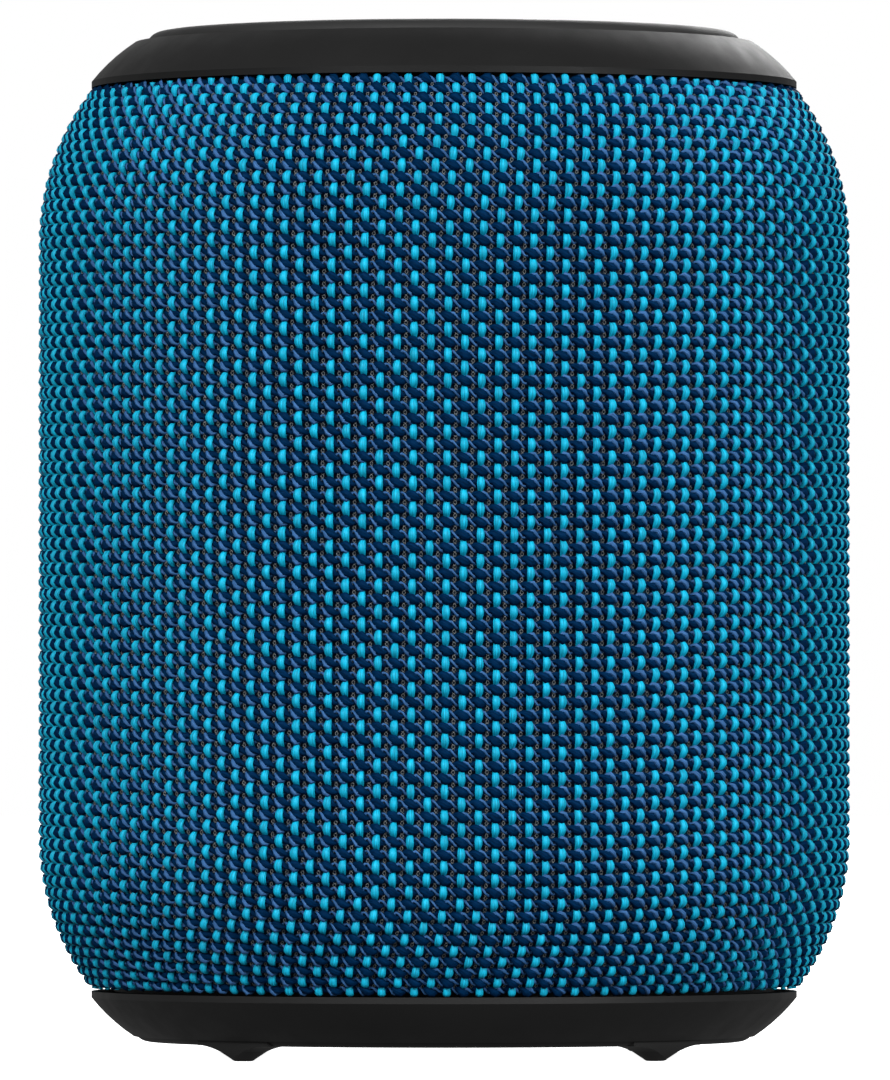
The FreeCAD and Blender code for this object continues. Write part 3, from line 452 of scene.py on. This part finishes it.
# ---- Materials ----
PATTERN_LOW, PATTERN_HIGH = 0.3, 0.7    # a noise pattern's low and high values
# the pale specks on the backing net are painted highlights, where its fine threads would catch the light
NET_COLOUR, PAINTED_GLINT_COLOUR = (0.0008, 0.028, 0.07), (0.10, 0.13, 0.15)
GLINT_SCALE, GLINT_EDGES = 2600, (0.12, 0.25)
FILAMENTS_AROUND, FILAMENTS_ALONG = 3.0, 0.9    # scales of a yarn's streaks
FILAMENT_SHADES = (0.62, 1.38)  # of the yarn's own colour


def new_material(name, colour, roughness, **sockets):
    """Material with a Principled shader. Other sockets are set by name, with _ for a space."""
    material = bpy.data.materials.new(name)
    material.use_nodes = True
    shader = material.node_tree.nodes["Principled BSDF"]
    shader.inputs["Base Color"].default_value = (*colour, 1)
    shader.inputs["Roughness"].default_value = roughness
    for socket, value in sockets.items():
        shader.inputs[socket.replace("_", " ")].default_value = value
    return material


def add_node(material, kind, links=(), **values):
    """Adds a node, sets its properties and inputs, and links (input, output socket) pairs into it."""
    node = material.node_tree.nodes.new(kind)
    for name, value in values.items():
        if hasattr(node, name):
            setattr(node, name, value)
        else:
            node.inputs[name.replace("_", " ")].default_value = value
    for socket, source in links:
        material.node_tree.links.new(source, node.inputs[socket])
    return node


def place(material, stretch=(1, 1, 1)):
    """Object coordinates, scaled by stretch."""
    coordinates = add_node(material, "ShaderNodeTexCoord")
    mapping = add_node(material, "ShaderNodeMapping", [("Vector", coordinates.outputs["Object"])])
    mapping.inputs["Scale"].default_value = stretch
    return mapping.outputs["Vector"]


def noise(material, scale, detail, stretch=(1, 1, 1)):
    """Soft specks that keep their place on the object."""
    source = ("Vector", place(material, stretch))
    node = add_node(material, "ShaderNodeTexNoise", [source], Scale=scale, Detail=detail)
    return node.outputs["Fac"]


def vary_colour(material, pattern, low, high, edges=(PATTERN_LOW, PATTERN_HIGH)):
    """Base colour goes from low to high as the pattern goes from the one edge to the other."""
    ramp = add_node(material, "ShaderNodeValToRGB", [("Fac", pattern)])
    for stop, colour, at in zip(ramp.color_ramp.elements, (low, high), edges):
        stop.position = at
        stop.color = (*colour, 1)
    shader = material.node_tree.nodes["Principled BSDF"]
    material.node_tree.links.new(ramp.outputs["Color"], shader.inputs["Base Color"])


def vary_roughness(material, pattern, low, high):
    """Roughness goes from low to high as the pattern does."""
    edges = {"From_Min": PATTERN_LOW, "From_Max": PATTERN_HIGH}
    spread = add_node(material, "ShaderNodeMapRange", [("Value", pattern)], **edges)
    spread.inputs["To Min"].default_value = low
    spread.inputs["To Max"].default_value = high
    shader = material.node_tree.nodes["Principled BSDF"]
    material.node_tree.links.new(spread.outputs["Result"], shader.inputs["Roughness"])


def add_bump(material, pattern, depth, strength):
    """Relief that rises with the pattern, depth metres deep."""
    bump = add_node(material, "ShaderNodeBump", [("Height", pattern)], Distance=depth, Strength=strength)
    shader = material.node_tree.nodes["Principled BSDF"]
    material.node_tree.links.new(bump.outputs["Normal"], shader.inputs["Normal"])


def shade(colour, factor):
    """The colour, darker or paler by a factor."""
    return tuple(c * factor for c in colour)


def strands(material):
    """Pattern of streaks that run with the yarn."""
    place_on_yarn = add_node(material, "ShaderNodeAttribute", attribute_name="strand")
    mapping = add_node(material, "ShaderNodeMapping", [("Vector", place_on_yarn.outputs["Vector"])])
    mapping.inputs["Scale"].default_value = (FILAMENTS_AROUND, FILAMENTS_AROUND, FILAMENTS_ALONG)
    source = ("Vector", mapping.outputs["Vector"])
    node = add_node(material, "ShaderNodeTexNoise", [source], Scale=1.0, Detail=2.0)
    return node.outputs["Fac"]


def yarn(name, colour, roughness, specular):
    """Filament yarn: fine streaks along it, in shade and in relief."""
    material = new_material(name, colour, roughness, Specular_IOR_Level=specular)
    filaments = strands(material)
    vary_colour(material, filaments, *[shade(colour, factor) for factor in FILAMENT_SHADES])
    vary_roughness(material, filaments, low=roughness + 0.1, high=roughness - 0.1)
    add_bump(material, filaments, depth=0.06 * MM, strength=0.8)
    return material


def backing():
    """Blue-black net with pale specks painted on as highlights, where its own fine threads would catch the
    light.
    """
    material = new_material("backing", NET_COLOUR, roughness=0.7)
    painted_glints = add_node(material, "ShaderNodeTexVoronoi", [("Vector", place(material))], Scale=GLINT_SCALE)
    vary_colour(material, painted_glints.outputs["Distance"], PAINTED_GLINT_COLOUR, NET_COLOUR, GLINT_EDGES)
    return material


def moulded(name, colour, roughness, grain=6000, depth=0.02, specular=0.5):
    """Moulded plastic or rubber with a fine spark-eroded grain, depth millimetres deep."""
    material = new_material(name, colour, roughness, Specular_IOR_Level=specular)
    mottle = noise(material, scale=90, detail=4)
    vary_colour(material, mottle, low=shade(colour, 0.9), high=shade(colour, 1.1))
    wear = noise(material, scale=300, detail=3)
    vary_roughness(material, wear, low=roughness - 0.05, high=roughness + 0.05)
    add_bump(material, noise(material, scale=grain, detail=2), depth=depth * MM, strength=0.5)
    return material


def metal(name, colour, roughness):
    """Rolled or plated metal with a fine directional grain."""
    stretch = (1, 1, 12)
    material = new_material(name, colour, roughness, Metallic=1.0)
    rolled = noise(material, scale=400, detail=3, stretch=stretch)
    vary_colour(material, rolled, low=shade(colour, 0.88), high=shade(colour, 1.08))
    brushed = noise(material, scale=900, detail=3, stretch=stretch)
    vary_roughness(material, brushed, low=roughness - 0.08, high=roughness + 0.1)
    return material


def speckled(name, colour, second, roughness, scale):
    """Paper, foam or ferrite: two close shades in fine specks."""
    material = new_material(name, colour, roughness)
    pattern = noise(material, scale, detail=6)
    vary_colour(material, pattern, low=colour, high=second)
    add_bump(material, pattern, depth=0.05 * MM, strength=0.6)
    return material


def make_materials():
    """Every material by its record slot, and those of the sleeve's yarns."""
    made = {
        "bright_yarn": yarn("bright_yarn", (0.004, 0.36, 0.56), 0.5, 0.15),
        "dark_yarn": yarn("dark_yarn", (0.0001, 0.015, 0.052), 0.6, 0.02),
        "blue_yarn": yarn("blue_yarn", (0.035, 0.11, 0.27), 0.5, 0.1),
        "fine_thread": yarn("fine_thread", (0.18, 0.20, 0.21), 0.3, 0.4),
        "backing": backing(),
        "cap_plastic": moulded("cap_plastic", (0.0066, 0.0066, 0.0066), 0.52, specular=0.17),
        # the same black plastic as cap_plastic, but paler: painted light on the lower cap, standing in for
        # the light the floor would throw up on it
        "cap_plastic_low": moulded("cap_plastic_low", (0.010, 0.010, 0.010), 0.52, specular=0.25),
        "soft_touch": moulded("soft_touch", (0.015, 0.015, 0.015), 0.62, 9000, 0.015, 0.3),
        "key_rubber": moulded("key_rubber", (0.02, 0.02, 0.02), 0.55, 9000, 0.01, 0.35),
        "foot_rubber": moulded("foot_rubber", (0.012, 0.012, 0.012), 0.6, 5000, 0.02, 0.3),
        "cover_rubber": moulded("cover_rubber", (0.015, 0.015, 0.015), 0.55, 8000, 0.015, 0.3),
        "surround_rubber": moulded("surround_rubber", (0.014, 0.014, 0.014), 0.4, 5000, 0.01),
        "light_pipe": moulded("light_pipe", (0.72, 0.78, 0.82), 0.25, 3000, 0.005),
        "dark_plastic": moulded("dark_plastic", (0.025, 0.025, 0.027), 0.5, 4000, 0.03),
        "white_plastic": moulded("white_plastic", (0.6, 0.6, 0.57), 0.5, 4000, 0.02),
        "jack_plastic": moulded("jack_plastic", (0.02, 0.02, 0.02), 0.35, 4000, 0.01),
        "chip_plastic": moulded("chip_plastic", (0.02, 0.02, 0.022), 0.45, 9000, 0.02),
        "ribbon_film": moulded("ribbon_film", (0.72, 0.72, 0.68), 0.3, 900, 0.01),
        "battery_wrap": moulded("battery_wrap", (0.03, 0.16, 0.40), 0.25, 700, 0.02),
        "circuit_board": speckled("circuit_board", (0.012, 0.10, 0.04), (0.02, 0.15, 0.06), 0.35, 1500),
        "switch_metal": metal("switch_metal", (0.62, 0.62, 0.6), 0.35),
        "shield_metal": metal("shield_metal", (0.65, 0.65, 0.63), 0.32),
        "zinc_steel": metal("zinc_steel", (0.58, 0.58, 0.56), 0.38),
        "black_steel": metal("black_steel", (0.04, 0.04, 0.042), 0.45),
        "basket_steel": metal("basket_steel", (0.035, 0.035, 0.036), 0.5),
        "copper_wire": metal("copper_wire", (0.75, 0.33, 0.16), 0.3),
        "radiator_metal": metal("radiator_metal", (0.36, 0.36, 0.37), 0.35),
        "capacitor_can": metal("capacitor_can", (0.55, 0.56, 0.58), 0.3),
        "ferrite": speckled("ferrite", (0.04, 0.04, 0.042), (0.075, 0.075, 0.08), 0.7, 2500),
        "cone_paper": speckled("cone_paper", (0.018, 0.018, 0.018), (0.04, 0.04, 0.04), 0.8, 1800),
        "spider_cloth": speckled("spider_cloth", (0.30, 0.17, 0.05), (0.48, 0.30, 0.11), 0.8, 3000),
        "seal_foam": speckled("seal_foam", (0.010, 0.010, 0.010), (0.03, 0.03, 0.03), 0.9, 4000),
    }
    made["woven_fabric"] = made["bright_yarn"]
    return made


def dress_cad_parts(materials):
    """Each CAD node gets the material of its record slot."""
    for part in frame["record"]["subparts"]:
        node = frame["nodes"][part["node"]]
        for place_for in node.material_slots:
            place_for.material = materials[part["material_slot"]]


# ---- Studio ----
CAMERA_DISTANCE = 1.507
CAMERA_HEIGHT = 0.0365
CAMERA_YAW = math.radians(1.5)      # the camera stands this far round, towards -X
AIM = Vector((0.0001, 0.0, 0.0572))
LENS_MM, SENSOR_MM = 453.1, 36
CLIP_START, CLIP_END = 0.1, 20
LIGHT_ABOVE, LIGHT_BELOW = 0.35, 0.20
LIGHT_BLEND = 0.5               # it goes from one to the other this far each way from level, as a sine
LAMPS = {"key": ((-0.7, -1.3, 1.0), 26), "fill": ((0.9, -1.1, 0.6), 17), "back": ((0.3, 1.4, 0.9), 16)}
LAMP_SIZE = 0.9
LAMP_AIM = Vector((0, 0, 0.06))
FLOOR_HALF = 4.0


def add_camera():
    """Long lens in front of the object, aimed at its middle."""
    data = bpy.data.cameras.new("camera")
    data.lens = LENS_MM
    data.sensor_width = SENSOR_MM
    data.clip_start = CLIP_START
    data.clip_end = CLIP_END
    camera = bpy.data.objects.new("camera", data)
    bpy.context.scene.collection.objects.link(camera)
    camera.location = (
        -CAMERA_DISTANCE * math.sin(CAMERA_YAW), -CAMERA_DISTANCE * math.cos(CAMERA_YAW), CAMERA_HEIGHT
    )
    camera.rotation_euler = (AIM - camera.location).to_track_quat("-Z", "Y").to_euler()
    bpy.context.scene.camera = camera


def add_lamp(name, at, watts):
    """Round lamp that is turned to the object."""
    data = bpy.data.lights.new(name, "AREA")
    data.shape = "DISK"
    data.size = LAMP_SIZE
    data.energy = watts
    lamp = bpy.data.objects.new(name, data)
    bpy.context.scene.collection.objects.link(lamp)
    lamp.location = at
    lamp.rotation_euler = (LAMP_AIM - lamp.location).to_track_quat("-Z", "Y").to_euler()


def add_world():
    """White studio: the camera sees plain white, and a soft grey, darker from below, lights the object."""
    world = bpy.data.worlds.new("studio")
    world.use_nodes = True
    bpy.context.scene.world = world
    nodes, links = world.node_tree.nodes, world.node_tree.links
    nodes.clear()
    seen = nodes.new("ShaderNodeBackground")
    seen.inputs["Color"].default_value = (1, 1, 1, 1)
    lit = nodes.new("ShaderNodeBackground")
    lit.inputs["Color"].default_value = (1, 1, 1, 1)
    direction = nodes.new("ShaderNodeTexCoord")
    parts = nodes.new("ShaderNodeSeparateXYZ")
    links.new(direction.outputs["Generated"], parts.inputs[0])
    strength = nodes.new("ShaderNodeMapRange")
    strength.inputs["From Min"].default_value = -LIGHT_BLEND
    strength.inputs["From Max"].default_value = LIGHT_BLEND
    strength.inputs["To Min"].default_value = LIGHT_BELOW
    strength.inputs["To Max"].default_value = LIGHT_ABOVE
    links.new(parts.outputs["Z"], strength.inputs["Value"])
    links.new(strength.outputs["Result"], lit.inputs["Strength"])
    ray = nodes.new("ShaderNodeLightPath")
    mix = nodes.new("ShaderNodeMixShader")
    out = nodes.new("ShaderNodeOutputWorld")
    links.new(ray.outputs["Is Camera Ray"], mix.inputs["Fac"])
    links.new(lit.outputs[0], mix.inputs[1])
    links.new(seen.outputs[0], mix.inputs[2])
    links.new(mix.outputs[0], out.inputs["Surface"])


def add_floor():
    """White floor that the camera sees, and that throws no light back on the object."""
    corners = [(x * FLOOR_HALF, y * FLOOR_HALF, 0) for x, y in ((-1, -1), (1, -1), (1, 1), (-1, 1))]
    mesh = bpy.data.meshes.new("floor")
    mesh.from_pydata(corners, [], [(0, 1, 2, 3)])
    floor = bpy.data.objects.new("floor", mesh)
    bpy.context.scene.collection.objects.link(floor)
    material = new_material("floor", (0.9, 0.9, 0.9), roughness=0.8)
    shader = material.node_tree.nodes["Principled BSDF"]
    shader.inputs["Emission Color"].default_value = (1, 1, 1, 1)
    shader.inputs["Emission Strength"].default_value = 1.0
    mesh.materials.append(material)
    floor.visible_diffuse = False
    floor.visible_glossy = False


def light_studio():
    add_world()
    add_floor()
    for name, (at, watts) in LAMPS.items():
        add_lamp(name, at, watts)
    bpy.context.scene.view_settings.view_transform = "Standard"


add_camera()
light_studio()
all_materials = make_materials()
dress_cad_parts(all_materials)
weave_sleeve(all_materials)
mark_keys(all_materials["white_plastic"])
rib_cover(all_materials["cover_rubber"])
